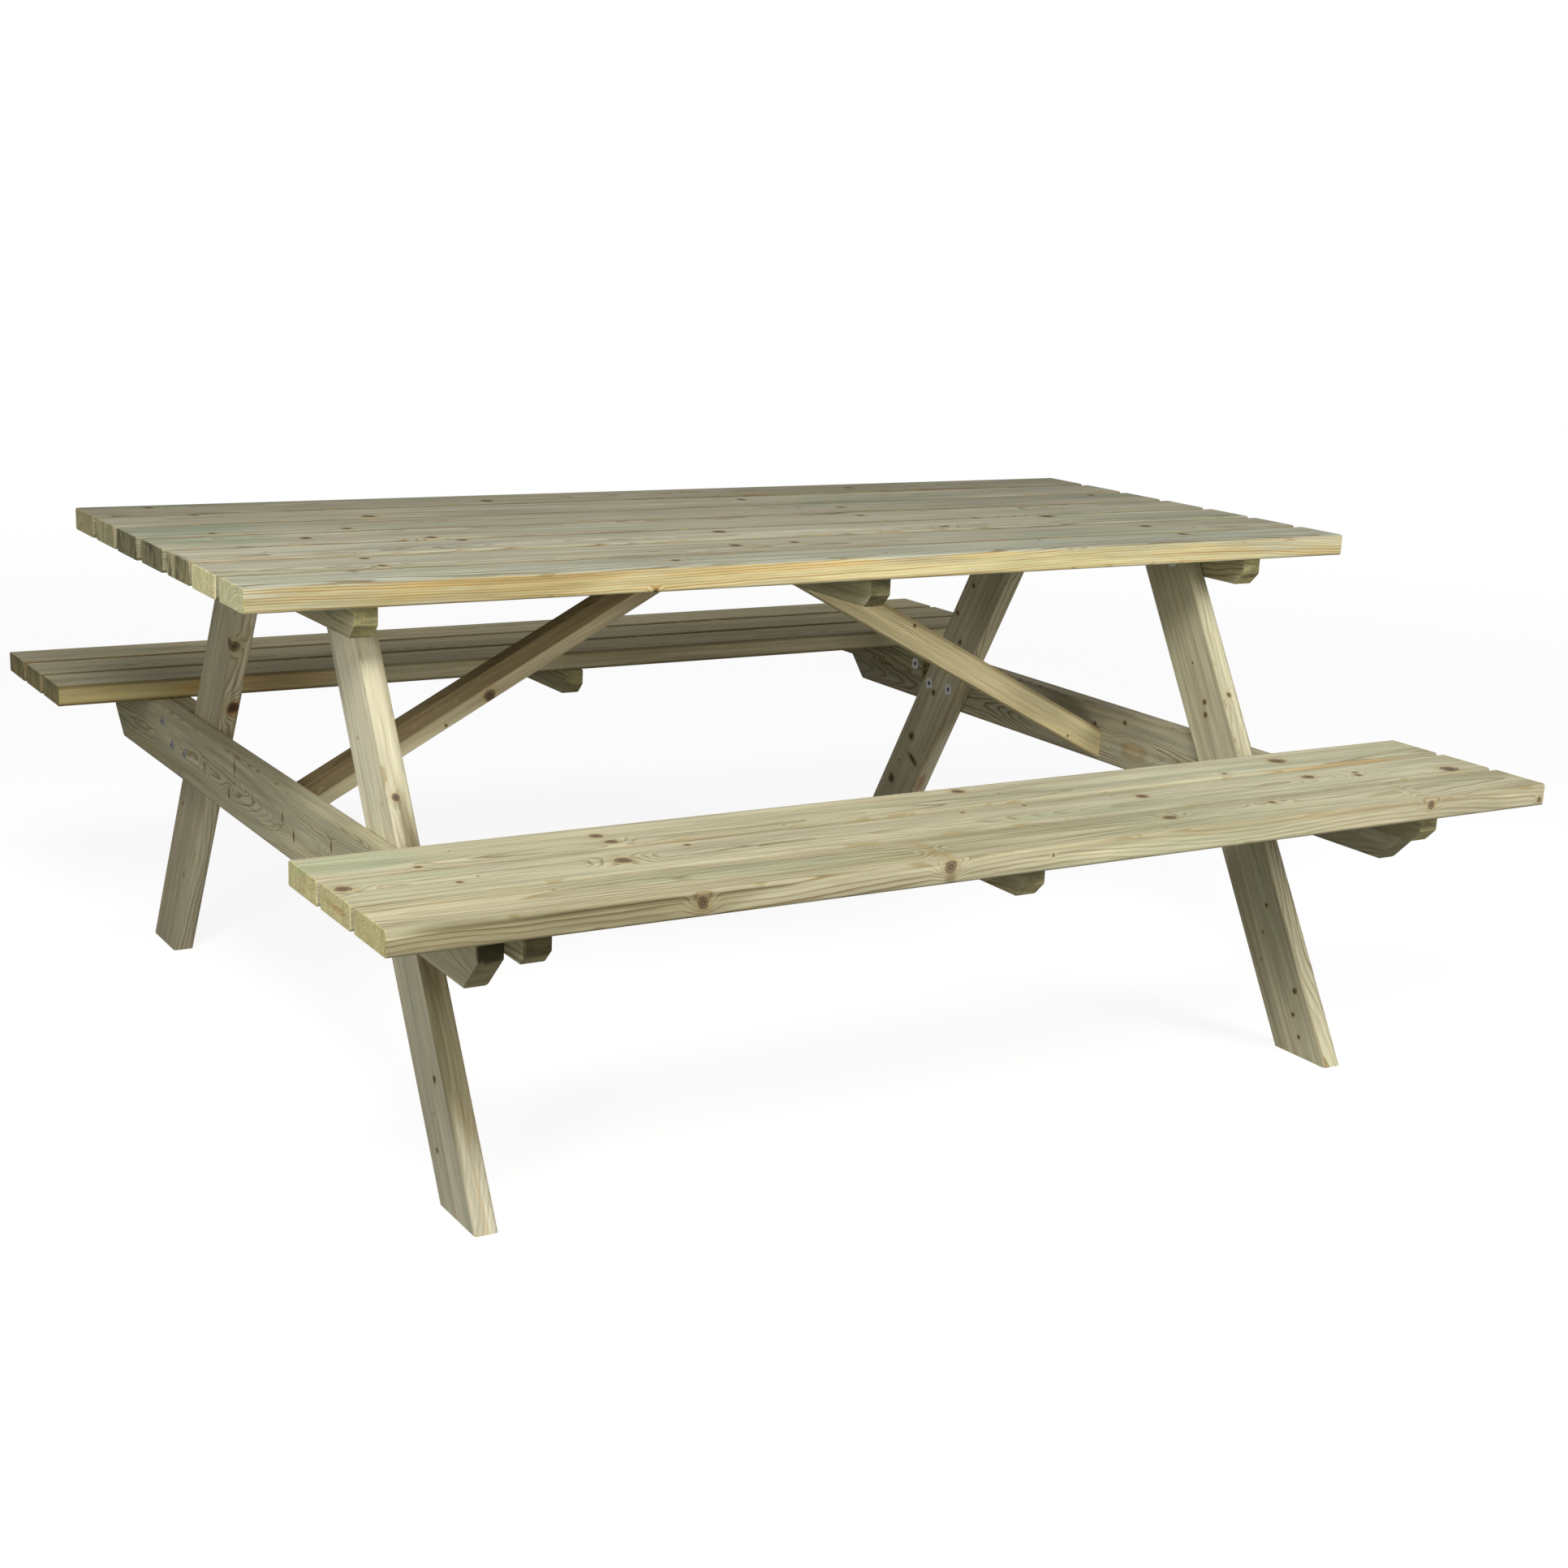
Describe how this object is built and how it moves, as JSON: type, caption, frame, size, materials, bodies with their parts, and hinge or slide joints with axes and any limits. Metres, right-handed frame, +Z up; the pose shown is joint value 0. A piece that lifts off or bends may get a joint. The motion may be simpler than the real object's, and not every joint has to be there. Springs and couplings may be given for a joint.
{
  "type": "picnic table",
  "caption": "A-frame timber picnic table with two attached bench seats: boarded top, splayed legs on long crossbeams, diagonal braces and bolted joints.",
  "frame": {"origin": "on the ground, under the middle of the table", "axes": "+X along the length of the tabletop and seats, +Y across from the front seat to the back seat, +Z up"},
  "size_m": [1.784, 1.678, 0.76],
  "materials": {
    "tabletop_timber": "pressure-treated softwood, planed, pale grey-green, satin",
    "seat_timber": "pressure-treated softwood, planed, pale yellow-green, satin",
    "frame_timber": "pressure-treated softwood, planed, pale olive, satin",
    "batten_timber": "pressure-treated softwood, sawn edge, olive, satin",
    "zinc_bolts": "bright zinc plate",
    "zinc_screws": "zinc plate"
  },
  "bodies": {
    "root": {"back_left_leg": "frame_timber", "back_left_seat_block": "batten_timber", "back_right_leg": "frame_timber", "back_right_seat_block": "batten_timber", "back_seat_batten": "batten_timber", "back_seat_board_1": "seat_timber", "back_seat_board_2": "seat_timber", "back_seat_board_3": "seat_timber", "back_seat_left_screws": "zinc_screws", "back_seat_middle_screws": "zinc_screws", "back_seat_right_screws": "zinc_screws", "front_left_leg": "frame_timber", "front_left_seat_block": "batten_timber", "front_right_leg": "frame_timber", "front_right_seat_block": "batten_timber", "front_seat_batten": "batten_timber", "front_seat_board_1": "seat_timber", "front_seat_board_2": "seat_timber", "front_seat_board_3": "seat_timber", "front_seat_left_screws": "zinc_screws", "front_seat_middle_screws": "zinc_screws", "front_seat_right_screws": "zinc_screws", "left_brace": "batten_timber", "left_brace_screws": "zinc_screws", "left_crossbeam": "frame_timber", "left_crossbeam_bolts": "zinc_bolts", "left_crossbeam_tee_nuts": "zinc_bolts", "left_tabletop_screws": "zinc_screws", "left_top_cleat": "batten_timber", "left_top_cleat_bolts": "zinc_bolts", "left_top_cleat_tee_nuts": "zinc_bolts", "middle_tabletop_screws": "zinc_screws", "middle_top_batten": "batten_timber", "right_brace": "batten_timber", "right_brace_screws": "zinc_screws", "right_crossbeam": "frame_timber", "right_crossbeam_bolts": "zinc_bolts", "right_crossbeam_tee_nuts": "zinc_bolts", "right_tabletop_screws": "zinc_screws", "right_top_cleat": "batten_timber", "right_top_cleat_bolts": "zinc_bolts", "right_top_cleat_tee_nuts": "zinc_bolts", "tabletop_board_1": "tabletop_timber", "tabletop_board_2": "tabletop_timber", "tabletop_board_3": "tabletop_timber", "tabletop_board_4": "tabletop_timber", "tabletop_board_5": "tabletop_timber", "tabletop_board_6": "tabletop_timber", "tabletop_board_7": "tabletop_timber"}
  },
  "joints": []
}
